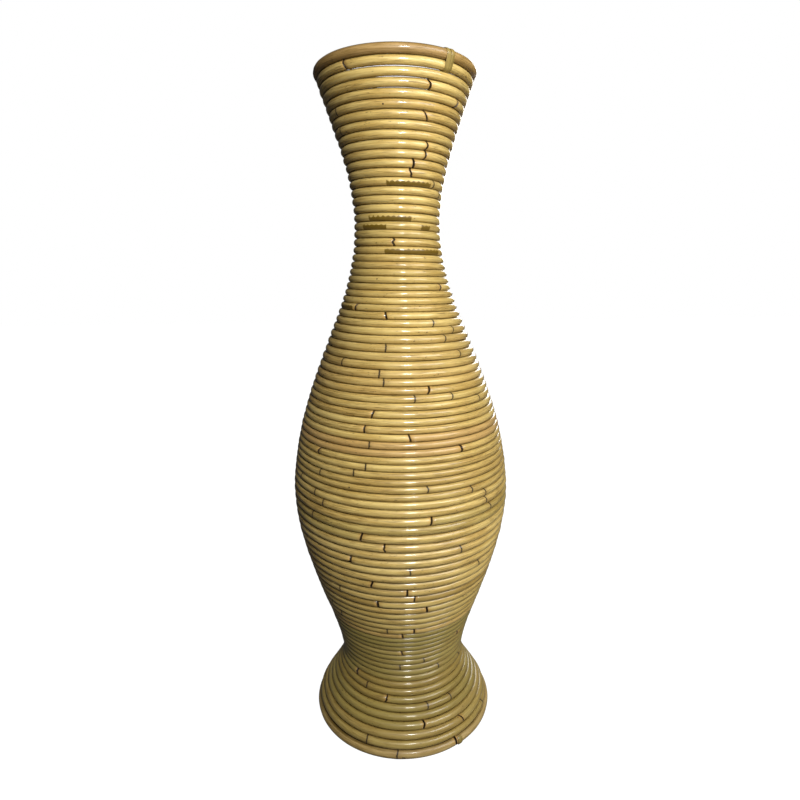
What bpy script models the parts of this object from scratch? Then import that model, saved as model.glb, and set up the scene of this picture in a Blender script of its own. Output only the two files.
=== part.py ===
"""Tall floor vase of coiled rattan cane, in metres, standing on z = 0 with +Z up and its front at -Y."""

import math

import bpy

for old in list(bpy.context.scene.objects):
    bpy.data.objects.remove(old, do_unlink=True)

# Wall: the line through the middles of the canes, as radius and height at its five named places.
FOOT_RADIUS = 0.1247
WAIST_RADIUS = 0.0846
WAIST_HEIGHT = 0.0958
BELLY_RADIUS = 0.144
BELLY_HEIGHT = 0.3505
NECK_RADIUS = 0.051
NECK_HEIGHT = 0.7045
MOUTH_RADIUS = 0.095
MOUTH_HEIGHT = 0.8788

# How far the wall runs on straight at each place before it bends: its curves' handles.
FOOT_HANDLE = (-0.0025, 0.0262)
WAIST_DOWN = 0.0342
WAIST_UP = 0.0438
BELLY_DOWN = 0.092
BELLY_UP = 0.136
NECK_DOWN = 0.113
NECK_UP = 0.059
MOUTH_HANDLE = (-0.021, -0.0626)

# Thickness of the coiled cane. It was wound from mixed bundles: each share of the way up the coil has its own.
CANE_FOOT = 0.0115
CANE_WAIST = 0.0086
CANE_LOWER_BELLY = 0.0116
CANE_BELLY = 0.0086
CANE_SHOULDER = 0.0107
CANE_NECK = 0.0088
CANE_MOUTH = 0.0106
CANE_BATCHES = (
    (0.00, CANE_FOOT),
    (0.08, 0.0100),
    (0.18, CANE_WAIST),
    (0.25, 0.0106),
    (0.30, CANE_LOWER_BELLY - 0.0002),
    (0.36, CANE_LOWER_BELLY),
    (0.44, CANE_BELLY),
    (0.53, CANE_BELLY + 0.0006),
    (0.62, CANE_SHOULDER),
    (0.71, CANE_NECK),
    (0.82, 0.0101),
    (1.00, CANE_MOUTH),
)

ROW_GAP = 0.0004
TOP_ROW_GAP = 0.0019
TOP_GAP_ROWS = 4.5
FIT_GAP = 0.0003
POINTS_PER_TURN = 16
THINNEST_TIP = 0.0036

# A cane's section is a hexagon with its flats toward the rows above and below, so its corners reach a little past
# the half thickness, but less than a full share of it, because rows lean toward each other where the wall bends.
CORNER_SHARE = 1.10

# Butt joints between the rods, as turns of the coil counted up from the foot.
BUTT_JOINTS = (
    1.9, 3.0, 6.0, 8.1, 14.0, 14.9, 18.0, 19.0, 23.0, 24.0, 25.0, 26.0, 27.0, 30.1, 32.0, 33.1, 35.0,
    37.4, 40.3, 43.1, 43.9, 46.0, 47.1, 49.0, 51.9, 54.6, 58.4, 61.0, 62.1, 64.9, 67.5, 71.0, 74.6,
    79.0, 80.0, 80.9, 81.9, 84.9, 86.8, 87.9, 90.1,
)
NOMINAL_ROWS = 90

RIM_DIAMETER = 0.0114
RIM_TILT = 0.017
FOOT_DIAMETER = 0.0128
FOOT_FLAT = 0.0008
RING_SIDES = 8

PEEL_THICKNESS = 0.0009
PEEL_WIDTH = 0.0055
RIM_LASHING_ANGLE = 40.0
FOOT_WRAP_ANGLE = 36.5
FOOT_WRAP_WIDTH = 0.007
FOOT_WRAP_BELOW_ROW = 34.0
FOOT_WRAP_TO = -42.0

STAY_COUNT = 6
STAY_DIAMETER = 0.0056
STAY_GAP = 0.0012
STAY_BEND = math.radians(5.0)
STAY_RUN = 0.050
STAY_FLOOR_GAP = 0.003
STAY_TOP_DROP = 0.012

FLOOR_THICKNESS = 0.006
FLOOR_HEIGHT = 0.026
FLOOR_GAP = 0.0013


def make_collection(name):
    collection = bpy.data.collections.new(name)
    bpy.context.scene.collection.children.link(collection)
    return collection


vase = make_collection("coiled_rattan_vase")
cutters = make_collection("cutters")
cutters.hide_render = True


def make_material(name, colour, roughness):
    material = bpy.data.materials.new(name)
    material.use_nodes = True
    shader = material.node_tree.nodes["Principled BSDF"]
    shader.inputs["Base Color"].default_value = (*colour, 1.0)
    shader.inputs["Roughness"].default_value = roughness
    shader.inputs["Metallic"].default_value = 0.0
    return material


def bezier(start, start_handle, end_handle, end, share):
    rest = 1.0 - share
    weights = (rest**3, 3 * rest * rest * share, 3 * rest * share * share, share**3)
    points = (start, start_handle, end_handle, end)
    return tuple(sum(weight * point[axis] for weight, point in zip(weights, points)) for axis in (0, 1))


def make_wall():
    """The wall as (radius, height, length so far), from the middle of the foot ring to the middle of the rim."""
    foot = (FOOT_RADIUS, FOOT_DIAMETER / 2 - FOOT_FLAT)
    waist = (WAIST_RADIUS, WAIST_HEIGHT)
    belly = (BELLY_RADIUS, BELLY_HEIGHT)
    neck = (NECK_RADIUS, NECK_HEIGHT)
    mouth = (MOUTH_RADIUS, MOUTH_HEIGHT)
    curves = (
        (foot, (foot[0] + FOOT_HANDLE[0], foot[1] + FOOT_HANDLE[1]), (waist[0], waist[1] - WAIST_DOWN), waist),
        (waist, (waist[0], waist[1] + WAIST_UP), (belly[0], belly[1] - BELLY_DOWN), belly),
        (belly, (belly[0], belly[1] + BELLY_UP), (neck[0], neck[1] - NECK_DOWN), neck),
        (neck, (neck[0], neck[1] + NECK_UP), (mouth[0] + MOUTH_HANDLE[0], mouth[1] + MOUTH_HANDLE[1]), mouth),
    )
    wall = [(foot[0], foot[1], 0.0)]
    for curve in curves:
        for step in range(1, 121):
            radius, height = bezier(*curve, step / 120)
            length = wall[-1][2] + math.hypot(radius - wall[-1][0], height - wall[-1][1])
            wall.append((radius, height, length))
    return wall


WALL = make_wall()
WALL_LENGTH = WALL[-1][2]


def wall_at(length):
    """Radius, height and upward direction of the wall at a length along it."""
    low, high = 0, len(WALL) - 1
    while high - low > 1:
        middle = (low + high) // 2
        if WALL[middle][2] <= length:
            low = middle
        else:
            high = middle
    a, b = WALL[low], WALL[high]
    span = b[2] - a[2]
    share = (length - a[2]) / span
    direction = ((b[0] - a[0]) / span, (b[1] - a[1]) / span)
    return a[0] + share * (b[0] - a[0]), a[1] + share * (b[1] - a[1]), direction


COIL_START = FOOT_DIAMETER / 2 + ROW_GAP
COIL_LENGTH = WALL_LENGTH - COIL_START - RIM_DIAMETER / 2 - ROW_GAP


def cane_size(share):
    for (from_share, from_size), (to_share, to_size) in zip(CANE_BATCHES, CANE_BATCHES[1:]):
        if share <= to_share:
            way = (share - from_share) / (to_share - from_share)
            smooth = way * way * (3 - 2 * way)
            return from_size + smooth * (to_size - from_size)
    return CANE_BATCHES[-1][1]


MEAN_CANE = sum(cane_size((step + 0.5) / 200) for step in range(200)) / 200
ROWS = round(COIL_LENGTH / MEAN_CANE)
ROW_SCALE = COIL_LENGTH / (MEAN_CANE * ROWS)


def make_row_edges(steps_per_row=24):
    edges = [0.0]
    for step in range(ROWS * steps_per_row):
        share = (step + 0.5) / (ROWS * steps_per_row)
        edges.append(edges[-1] + cane_size(share) * ROW_SCALE / steps_per_row)
    stretch = COIL_LENGTH / edges[-1]
    return [edge * stretch for edge in edges], steps_per_row


EDGES, EDGE_STEPS = make_row_edges()


def row_edge(rows):
    """Length along the coil's wall of the edge between two rows, which carries on straight past both ends."""
    place = rows * EDGE_STEPS
    index = min(max(math.floor(place), 0), len(EDGES) - 2)
    return EDGES[index] + (place - index) * (EDGES[index + 1] - EDGES[index])


def azimuth(turns):
    """The coil is left-handed, and its whole turns are at the front, at -Y."""
    return math.radians(-90.0 - 360.0 * turns)


def rim_rise(angle):
    """How far the rim is above level along the wall, since it leans with the coil's top row."""
    return -RIM_TILT * MOUTH_RADIUS * math.cos(angle)


def cane_at(turns):
    """Radius, height, upward direction and half thickness of the coiled cane after some turns from the foot."""
    top = COIL_LENGTH + rim_rise(azimuth(turns))
    upper = min(row_edge(turns), top)
    lower = max(row_edge(turns - 1), 0.0)
    rows_left = ROWS + 1 - turns
    loosened = max(0.0, 1.0 - rows_left / TOP_GAP_ROWS)
    gap = ROW_GAP + min(1.0, 3.0 * loosened) * (TOP_ROW_GAP - ROW_GAP)
    radius, height, direction = wall_at(COIL_START + (upper + lower) / 2)
    return radius, height, direction, (upper - lower - gap) / 2


def find_turns(wanted, low, high):
    """The turns between low and high where the cane has a wanted thickness."""
    rising = cane_at(high)[3] > cane_at(low)[3]
    for _ in range(40):
        middle = (low + high) / 2
        if (cane_at(middle)[3] * 2 < wanted) == rising:
            low = middle
        else:
            high = middle
    return (low + high) / 2


COIL_FIRST = find_turns(THINNEST_TIP, 0.05, 0.9)
COIL_LAST = find_turns(THINNEST_TIP, ROWS + 0.3, ROWS + 0.75)


def coil_point(turns):
    """A point of the coil's middle line, its half thickness and its tilt, on the side between two corners."""
    place = turns * POINTS_PER_TURN
    corner = math.floor(place)
    ends = []
    for step in (corner, corner + 1):
        radius, height, direction, thickness = cane_at(step / POINTS_PER_TURN)
        angle = azimuth(step / POINTS_PER_TURN)
        tilt = -math.atan2(direction[0], direction[1])
        ends.append((radius * math.cos(angle), radius * math.sin(angle), height, thickness, tilt))
    return [a + (place - corner) * (b - a) for a, b in zip(*ends)]


def make_tube(name, points, radii, depth, material, tilts=None):
    curve = bpy.data.curves.new(name, "CURVE")
    curve.dimensions = "3D"
    curve.twist_mode = "Z_UP"
    curve.bevel_depth = depth
    curve.bevel_resolution = 1
    curve.use_fill_caps = True
    spline = curve.splines.new("POLY")
    spline.points.add(len(points) - 1)
    for point, place, radius, tilt in zip(spline.points, points, radii, tilts or [0.0] * len(points)):
        point.co = (*place, 1.0)
        point.radius = radius / depth
        point.tilt = tilt
    spline.use_smooth = True
    tube = bpy.data.objects.new(name, curve)
    vase.objects.link(tube)
    curve.materials.append(material)
    return tube


def make_rods():
    joints = [COIL_FIRST, *[turns * ROWS / NOMINAL_ROWS for turns in BUTT_JOINTS], COIL_LAST]
    joints = [(math.floor(turns * POINTS_PER_TURN) + 0.5) / POINTS_PER_TURN for turns in joints]
    for number, (first, last) in enumerate(zip(joints, joints[1:]), start=1):
        radius = cane_at((first + last) / 2)[0]
        butt = FIT_GAP / (2 * math.pi * radius)
        first += butt
        last -= butt
        turns = [first]
        step = math.floor(first * POINTS_PER_TURN) + 1
        while step / POINTS_PER_TURN < last:
            turns.append(step / POINTS_PER_TURN)
            step += 1
        turns.append(last)
        name = f"rod_{number:02d}"
        shade = 0.02 * ((number * 7) % 5 - 2)
        material = make_material(name, (0.62 + shade, 0.46 + shade, 0.21 + shade), 0.35)
        points = [coil_point(place) for place in turns]
        radii = [point[3] * CORNER_SHARE for point in points]
        tilts = [point[4] for point in points]
        make_tube(name, [point[:3] for point in points], radii, 0.005, material, tilts)


def rim_corner(corner):
    """The middle of the rim cane at one of the corners that it shares with the coil."""
    angle = 2 * math.pi * corner / POINTS_PER_TURN
    radius, height, direction = wall_at(WALL_LENGTH)
    rise = rim_rise(angle)
    radius += direction[0] * rise
    return radius * math.cos(angle), radius * math.sin(angle), height + direction[1] * rise


def make_rim():
    """The thick rim cane, bent round once, with its two ends butted under the lashing."""
    joint = (RIM_LASHING_ANGLE - 90.0) / 360.0 * POINTS_PER_TURN
    before = math.floor(joint)
    side = [b - a for a, b in zip(rim_corner(before), rim_corner(before + 1))]
    butt = FIT_GAP / math.hypot(*side)
    points = [rim_corner(before + 1 + step) for step in range(POINTS_PER_TURN)]
    for share, index in ((joint - before + butt, 0), (joint - before - butt, POINTS_PER_TURN + 1)):
        place = tuple(a + share * b for a, b in zip(rim_corner(before), side))
        points.insert(index, place)
    material = make_material("rim_ring", (0.40, 0.29, 0.14), 0.45)
    make_tube("rim_ring", points, [RIM_DIAMETER / 2] * len(points), RIM_DIAMETER / 2, material)


def make_profile_ring(name, outline, steps, colour, roughness):
    """A ring turned round the vase's axis from a closed outline of (radius, height), which runs anticlockwise."""
    mesh = bpy.data.meshes.new(name)
    points = [(radius, 0.0, height) for radius, height in outline]
    edges = [(index, (index + 1) % len(points)) for index in range(len(points))]
    mesh.from_pydata(points, edges, [])
    ring = bpy.data.objects.new(name, mesh)
    vase.objects.link(ring)
    screw = ring.modifiers.new("turn", "SCREW")
    screw.steps = steps
    screw.render_steps = steps
    screw.use_merge_vertices = True
    screw.merge_threshold = 0.0001
    screw.use_normal_calculate = True
    screw.use_smooth_shade = True
    mesh.materials.append(make_material(name, colour, roughness))
    return ring


def make_foot_ring():
    """The thick foot cane, sanded flat below so that the vase stands still."""
    middle = FOOT_DIAMETER / 2 - FOOT_FLAT
    outline = []
    for step in range(RING_SIDES):
        angle = math.radians(-90.0 - 360.0 * (step + 0.5) / RING_SIDES)
        radius = FOOT_DIAMETER / 2
        height = max(middle + radius * math.sin(angle), 0.0)
        outline.append((FOOT_RADIUS + radius * math.cos(angle), height))
    make_profile_ring("foot_ring", outline, POINTS_PER_TURN, (0.36, 0.27, 0.13), 0.45)


def make_floor():
    """A plywood disc pushed up into the flared foot."""
    length = 0.0
    while wall_at(length)[1] < FLOOR_HEIGHT + FLOOR_THICKNESS + 0.004:
        length += 0.001
    radius, _, direction = wall_at(length)
    chord = math.cos(math.pi / POINTS_PER_TURN)
    radius = radius * chord - CANE_FOOT / 2 - FLOOR_GAP
    bpy.ops.mesh.primitive_cylinder_add(vertices=48, radius=radius, depth=FLOOR_THICKNESS)
    disc = bpy.context.object
    disc.name = "floor_disc"
    disc.location.z = FLOOR_HEIGHT + FLOOR_THICKNESS / 2
    for owner in list(disc.users_collection):
        owner.objects.unlink(disc)
    vase.objects.link(disc)
    disc.data.materials.append(make_material("floor_disc", (0.42, 0.31, 0.19), 0.7))
    return radius


def stay_lengths(first, last):
    """Places along the wall that are close together where it bends and further apart where it is nearly straight."""
    places = [first]
    heading = math.atan2(*wall_at(first)[2])
    length = first
    while length < last - 0.004:
        length += 0.001
        turned = abs(math.atan2(*wall_at(length)[2]) - heading)
        if turned > STAY_BEND or length - places[-1] > STAY_RUN:
            places.append(length)
            heading = math.atan2(*wall_at(length)[2])
    places.append(last)
    return places


def stay_middle(length):
    """Radius and height of a stay's middle line, inside the straight sides of the coil."""
    radius, height, direction = wall_at(length)
    share = (length - COIL_START) / COIL_LENGTH
    inset = cane_size(share) * ROW_SCALE / 2 + STAY_DIAMETER / 2 + STAY_GAP
    return radius * math.cos(math.pi / POINTS_PER_TURN) - inset * direction[1], height + inset * direction[0]


def make_stays():
    """Split cane ribs inside the wall, from just above the floor to just below the rim. Every row is pinned to them."""
    lowest = FLOOR_HEIGHT + FLOOR_THICKNESS + STAY_FLOOR_GAP + STAY_DIAMETER / 2
    first = COIL_START
    while stay_middle(first)[1] < lowest:
        first += 0.001
    last = COIL_START + COIL_LENGTH - STAY_TOP_DROP
    for number in range(1, STAY_COUNT + 1):
        angle = math.radians(-90.0 + 360.0 * (number - 0.5) / STAY_COUNT + 180.0 / POINTS_PER_TURN)
        points = []
        for length in stay_lengths(first, last):
            radius, height = stay_middle(length)
            points.append((radius * math.cos(angle), radius * math.sin(angle), height))
        name = f"stay_{number}"
        material = make_material(name, (0.50, 0.37, 0.18), 0.6)
        make_tube(name, points, [STAY_DIAMETER / 2] * len(points), STAY_DIAMETER / 2, material)


def hull_outline(circles, clearance, sides=28):
    """The outline of a strap pulled round some circles of (x, y, radius), at a clearance from them."""
    outline = []
    for step in range(sides):
        angle = 2 * math.pi * step / sides
        way = (math.cos(angle), math.sin(angle))
        reach = [(x * way[0] + y * way[1] + radius, x, y, radius) for x, y, radius in circles]
        _, x, y, radius = max(reach)
        outline.append((x + (radius + clearance) * way[0], y + (radius + clearance) * way[1]))
    return outline


def make_strap(name, outlines, angle, width, colour):
    """A flat strip of cane peel, whose outlines are in the upright plane at an angle round the vase."""
    curve = bpy.data.curves.new(name, "CURVE")
    curve.dimensions = "2D"
    curve.fill_mode = "BOTH"
    curve.extrude = width / 2
    for outline in outlines:
        spline = curve.splines.new("POLY")
        spline.points.add(len(outline) - 1)
        spline.use_cyclic_u = True
        for point, place in zip(spline.points, outline):
            point.co = (place[0], place[1], 0.0, 1.0)
    strap = bpy.data.objects.new(name, curve)
    vase.objects.link(strap)
    strap.rotation_euler = (math.pi / 2, 0.0, angle)
    curve.materials.append(make_material(name, colour, 0.5))
    return strap


def side_frame(turned):
    """The angle that a straight side of the coil faces, and how far along it a place at an angle from the front is."""
    angle = math.radians(turned - 90.0)
    side = 2 * math.pi * (math.floor(angle * POINTS_PER_TURN / (2 * math.pi)) + 0.5) / POINTS_PER_TURN
    return side, math.tan(angle - side)


def make_foot_wrap():
    """A strip of peel pinned over the foot cane's joint, from just below the first row down to near the floor."""
    middle = FOOT_DIAMETER / 2 - FOOT_FLAT
    inner = FOOT_DIAMETER / 2 + FIT_GAP
    side, share = side_frame(FOOT_WRAP_ANGLE)
    distance = FOOT_RADIUS * math.cos(math.pi / POINTS_PER_TURN)
    way_up = wall_at(0.0)[2]
    top = math.degrees(math.atan2(way_up[1], way_up[0])) - FOOT_WRAP_BELOW_ROW
    steps = 12
    outline = []
    for radius, first, last in (
        (inner + PEEL_THICKNESS, FOOT_WRAP_TO, top),
        (inner, top, FOOT_WRAP_TO),
    ):
        for step in range(steps + 1):
            angle = math.radians(first + (last - first) * step / steps)
            outline.append((distance + radius * math.cos(angle), middle + radius * math.sin(angle)))
    strap = make_strap("foot_wrap", [outline], side, FOOT_WRAP_WIDTH, (0.36, 0.28, 0.13))
    shift = distance * share
    strap.location = (-math.sin(side) * shift, math.cos(side) * shift, 0.0)


def make_lashings():
    """Two turns of peel round the rim and the top row, square to the straight side that they sit on."""
    side_angle, share = side_frame(RIM_LASHING_ANGLE)
    chord = math.cos(math.pi / POINTS_PER_TURN)
    turns = ROWS - RIM_LASHING_ANGLE / 360.0
    radius, height, row_direction, thickness = cane_at(turns)
    ring_radius, ring_height, direction = wall_at(WALL_LENGTH)
    rise = rim_rise(math.radians(RIM_LASHING_ANGLE - 90.0))
    ring_place = ((ring_radius + direction[0] * rise) * chord, ring_height + direction[1] * rise)
    circles = [(*ring_place, RIM_DIAMETER / 2)]
    for corner in range(6):
        way = math.atan2(row_direction[1], row_direction[0]) + math.radians(30.0 + 60.0 * corner)
        reach = thickness * CORNER_SHARE
        circles.append((radius * chord + reach * math.cos(way), height + reach * math.sin(way), 0.0))
    middle = MOUTH_RADIUS * chord * share
    for number, side in ((1, -1), (2, 1)):
        outlines = [hull_outline(circles, FIT_GAP), hull_outline(circles, FIT_GAP + PEEL_THICKNESS)]
        strap = make_strap(f"rim_lashing_{number}", outlines, side_angle, PEEL_WIDTH, (0.52, 0.40, 0.17))
        shift = middle + side * (PEEL_WIDTH + FIT_GAP) / 2
        strap.location = (-math.sin(side_angle) * shift, math.cos(side_angle) * shift, 0.0)


make_rods()
make_rim()
make_foot_ring()
make_floor()
make_stays()
make_lashings()
make_foot_wrap()
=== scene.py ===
"""A tall floor vase of coiled rattan cane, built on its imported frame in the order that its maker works."""

import bisect
import math
import random

import bpy
from mathutils import Matrix, Vector, noise
from mathutils.geometry import interpolate_bezier


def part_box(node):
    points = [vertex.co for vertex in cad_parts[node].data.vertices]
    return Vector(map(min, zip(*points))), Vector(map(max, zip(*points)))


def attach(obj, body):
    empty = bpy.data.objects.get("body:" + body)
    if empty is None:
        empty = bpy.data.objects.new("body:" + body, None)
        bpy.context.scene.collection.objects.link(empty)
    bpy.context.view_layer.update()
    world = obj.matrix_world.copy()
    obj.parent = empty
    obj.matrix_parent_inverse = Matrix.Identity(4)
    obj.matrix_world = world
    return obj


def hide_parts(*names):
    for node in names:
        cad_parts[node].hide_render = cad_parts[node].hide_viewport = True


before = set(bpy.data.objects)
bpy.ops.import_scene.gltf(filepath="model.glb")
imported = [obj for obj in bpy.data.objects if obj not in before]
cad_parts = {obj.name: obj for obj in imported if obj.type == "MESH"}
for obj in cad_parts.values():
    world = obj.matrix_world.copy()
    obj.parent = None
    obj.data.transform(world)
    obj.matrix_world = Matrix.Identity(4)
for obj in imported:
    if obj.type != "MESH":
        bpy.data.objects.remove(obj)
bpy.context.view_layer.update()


# The wall's curve. The maker coils over six upright stays, bent first to this line: a flared foot, a low
# waist, a round belly, a narrow neck and a flared mouth. It runs through the middles of the canes, as radius
# and height, and every other piece takes its place from it.
FOOT = (0.1247, 0.0056)
WAIST = (0.0846, 0.0958)
BELLY = (0.144, 0.3505)
NECK = (0.051, 0.7045)
MOUTH = (0.095, 0.8788)
WALL_CURVES = (
    (FOOT, (0.1222, 0.0318), (0.0846, 0.0616), WAIST),
    (WAIST, (0.0846, 0.1396), (0.144, 0.2585), BELLY),
    (BELLY, (0.144, 0.4865), (0.051, 0.5915), NECK),
    (NECK, (0.051, 0.7635), (0.074, 0.8162), MOUTH),
)
RIM_SIZE = 0.0114
FOOT_SIZE = 0.0128
CURVE_STEPS = 160


def trace_wall():
    """The wall as (length so far, radius, height), from the middle of the foot cane to that of the rim."""
    traced = [(0.0, *FOOT)]
    for knots in WALL_CURVES:
        for place in interpolate_bezier(*[Vector((*knot, 0.0)) for knot in knots], CURVE_STEPS)[1:]:
            step = math.hypot(place.x - traced[-1][1], place.y - traced[-1][2])
            traced.append((traced[-1][0] + step, place.x, place.y))
    return traced


wall_line = trace_wall()
wall_length = wall_line[-1][0]


def wall_at(length):
    """Radius, height and upward direction of the wall at a length along it."""
    low, high = 0, len(wall_line) - 1
    while high - low > 1:
        middle = (low + high) // 2
        low, high = (middle, high) if wall_line[middle][0] <= length else (low, middle)
    (from_length, *near), (to_length, *far) = wall_line[low], wall_line[high]
    share = (length - from_length) / (to_length - from_length)
    direction = Vector((far[0] - near[0], far[1] - near[1])).normalized()
    return near[0] + share * (far[0] - near[0]), near[1] + share * (far[1] - near[1]), direction


# The rows of the coil, counted up from the foot. One cane follows another round and round, left-handed, and
# presses on the row below. The bundles were of mixed thickness, so each share of the way up has its own. Near
# the mouth a few rows have sprung a little apart at the front.
ROWS = 90
CANE_SIZES = (
    (0.00, 0.0115),
    (0.08, 0.0100),
    (0.18, 0.0086),
    (0.25, 0.0106),
    (0.30, 0.0114),
    (0.36, 0.0116),
    (0.44, 0.0086),
    (0.53, 0.0092),
    (0.62, 0.0107),
    (0.71, 0.0088),
    (0.82, 0.0101),
    (1.00, 0.0106),
)
COIL_START = FOOT_SIZE / 2
COIL_LENGTH = wall_length - COIL_START - RIM_SIZE / 2
RIM_TILT = 0.017
STEPS_PER_ROW = 24
PRESSED_IN = 0.0002
SPRUNG_GAP = 0.0011
SPRUNG_MIDDLE = 88.6
SPRUNG_SPREAD = 0.9


def cane_size(share):
    for (from_share, from_size), (to_share, to_size) in zip(CANE_SIZES, CANE_SIZES[1:]):
        if share <= to_share:
            way = (share - from_share) / (to_share - from_share)
            return from_size + way * way * (3 - 2 * way) * (to_size - from_size)
    return CANE_SIZES[-1][1]


row_edges = [0.0]
for step in range(ROWS * STEPS_PER_ROW):
    row_edges.append(row_edges[-1] + cane_size((step + 0.5) / (ROWS * STEPS_PER_ROW)))
row_edges = [edge * COIL_LENGTH / row_edges[-1] for edge in row_edges]


def row_edge(rows):
    """Length along the coil of the edge between two rows, carried on straight past both ends."""
    index = min(max(math.floor(rows * STEPS_PER_ROW), 0), len(row_edges) - 2)
    return row_edges[index] + (rows * STEPS_PER_ROW - index) * (row_edges[index + 1] - row_edges[index])


def turn_angle(turns):
    """Whole turns are at the front, at -Y."""
    return math.radians(-90.0 - 360.0 * turns)


def rim_rise(angle):
    """The rim leans with the top row, so it is a little higher on the left."""
    return -RIM_TILT * MOUTH[0] * math.cos(angle)


def cane_at(turns):
    """Radius, height, upward direction of the wall and half thickness of the cane after some turns."""
    upper = min(row_edge(turns), COIL_LENGTH + rim_rise(turn_angle(turns)))
    lower = max(row_edge(turns - 1), 0.0)
    at_front = max(0.0, math.cos(2 * math.pi * (turns + 0.01))) ** 16
    gap = -PRESSED_IN + SPRUNG_GAP * at_front * math.exp(-(((turns - SPRUNG_MIDDLE) / SPRUNG_SPREAD) ** 2))
    radius, height, direction = wall_at(COIL_START + (upper + lower) / 2)
    return radius, height, direction, (upper - lower - gap) / 2


# Each cane of the coil: peeled round rattan, steamed, bent round the stays and pinned row on row. Its ends
# are sawn or snapped and butted, and its leaf joints show as dark arcs. Places are (row, degrees right of
# front). An end also has, in mm: the gap, its foot's lean left, its middle's bow right, and its splinters.
CANE_ENDS = (
    (2, 43, 0.9, -2.6, 0.6, 0.5),
    (3, 14, 2.0, 0.4, 0.8, 2.4),
    (6, -14, 1.1, 0.4, 1.2, 1.4),
    (8, -46, 2.8, -1.6, 0.0, 1.4),
    (14, 0, 0.8, -2.2, 0.0, 0.6),
    (15, 50, 2.4, 2.8, 0.0, 0.8),
    (18, 0, 1.1, -0.6, 1.0, 0.5),
    (19, 8, 1.1, 0.2, 0.0, 0.4),
    (23, 15, 1.9, 0.0, 0.0, 0.8),
    (24, -14, 2.3, -0.6, 0.4, 1.0),
    (25, 7, 0.7, 0.4, -0.8, 0.5),
    (26, 3, 1.3, 0.0, -0.6, 0.6),
    (27, -16, 1.3, 0.8, -0.8, 0.9),
    (30, -26, 1.6, -1.0, 0.6, 1.6),
    (32, -8, 1.0, -1.0, 0.4, 1.6),
    (33, -19, 1.4, 0.8, -0.9, 0.6),
    (35, 14, 1.2, 1.3, 0.6, 0.5),
    (38, 205, 0.9, 0.8, 0.4, 0.5),
    (40, -110, 0.9, -0.8, 0.4, 0.5),
    (43, -47, 1.6, 1.6, -0.5, 1.0),
    (44, 33, 2.6, -1.2, 0.0, 2.8),
    (46, 5, 1.0, -1.4, 0.2, 0.6),
    (47, -19, 1.1, -0.2, -0.8, 1.0),
    (49, -15, 1.2, 1.6, -0.3, 0.9),
    (52, 18, 1.7, 1.0, 0.3, 0.7),
    (55, 140, 0.9, 1.0, 0.6, 0.6),
    (58, -150, 0.9, -1.0, 0.6, 0.6),
    (61, -11, 1.3, -1.3, -0.4, 0.5),
    (62, -44, 1.3, 1.8, -0.6, 0.5),
    (65, 51, 1.6, -0.8, 1.2, 0.7),
    (68, 170, 0.9, 0.4, 0.6, 0.5),
    (71, -5, 1.5, -0.2, 0.6, 2.2),
    (75, 140, 0.9, 0.8, 0.6, 0.5),
    (79, 16, 1.2, -1.0, 0.8, 2.0),
    (80, 18, 2.0, -0.4, 1.0, 0.6),
    (81, 31, 1.6, 0.2, 1.2, 0.6),
    (82, 31, 1.2, 0.6, 2.4, 0.6),
    (85, 26, 0.9, -3.6, 0.6, 1.8),
    (87, 58, 1.6, 2.6, 2.0, 0.6),
    (88, 25, 2.1, -1.2, 3.0, 1.0),
    (90, -36, 0.8, -2.0, -0.4, 0.5),
)
LEAF_JOINTS = (
    (86, -59), (84, -60), (78, 50), (77, 65), (60, 31), (59, 52), (58, 38), (57, -9), (56, 49), (55, -43),
    (54, -13), (53, -11), (51, 9), (51, 32), (50, 58), (48, 76), (45, -16), (42, -16), (40, -43), (41, -22),
    (38, -61), (39, 12), (38, 38), (37, -47), (37, 45), (36, -41), (36, 47), (34, -50), (35, 51), (31, 32),
    (29, 4), (28, 47), (25, -38), (21, -54), (20, -47), (19, -9), (9, 68), (12, 20), (11, -2), (10, 34),
    (7, -34), (5, 18), (5, 40), (1, -22), (1, 70),
)
# What is left of the leaf sheaths: row, first and last place in degrees right of the front, and strength.
SHEATH_STAINS = (
    (78, -12, 44, 1.0), (74, -39, 18, 1.0), (73, -50, -14, 1.0), (73, 32, 46, 1.0), (70, -16, 62, 1.0),
    (62, -90, -48, 0.8), (42, -14, -11, 0.8), (64, 90, 130, 0.8), (27, 120, 170, 0.7), (57, 150, 200, 0.8),
)
# How brown, how pink and how olive some of the canes are. The rest are straw-coloured, a little of each.
CANE_TINTS = {
    1: (0.4, 0.0, 0.5),
    2: (0.55, 0.3, 0.5),
    3: (0.5, 0.0, 0.7),
    4: (1.0, 0.1, 0.5),
    5: (0.5, 0.0, 0.75),
    6: (0.5, 0.0, 0.6),
    7: (0.6, 0.0, 0.85),
    8: (0.35, 0.35, 0.1),
    9: (0.3, 0.0, 0.35),
    11: (0.9, 0.0, 0.1),
    17: (0.1, 0.0, 0.45),
    22: (0.3, 0.8, 0.0),
    26: (0.1, 0.35, 0.0),
    35: (0.05, 0.0, 0.0),
    36: (0.0, 0.0, 0.05),
    37: (0.0, 0.0, 0.0),
    38: (0.05, 0.0, 0.0),
    39: (0.1, 0.1, 0.0),
}
STEPS_PER_TURN = 120
CANE_SIDES = 16
LEAF_SPACING = 0.25
LEAF_SPACES = (0.19, 0.33)
NEAR_LEAF_JOINT = 0.02
CLEAR_OF_SEEN = 0.09
SEEN_DEGREES = 78


def turns_of(row, degrees):
    return row - degrees / 360.0


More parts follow.
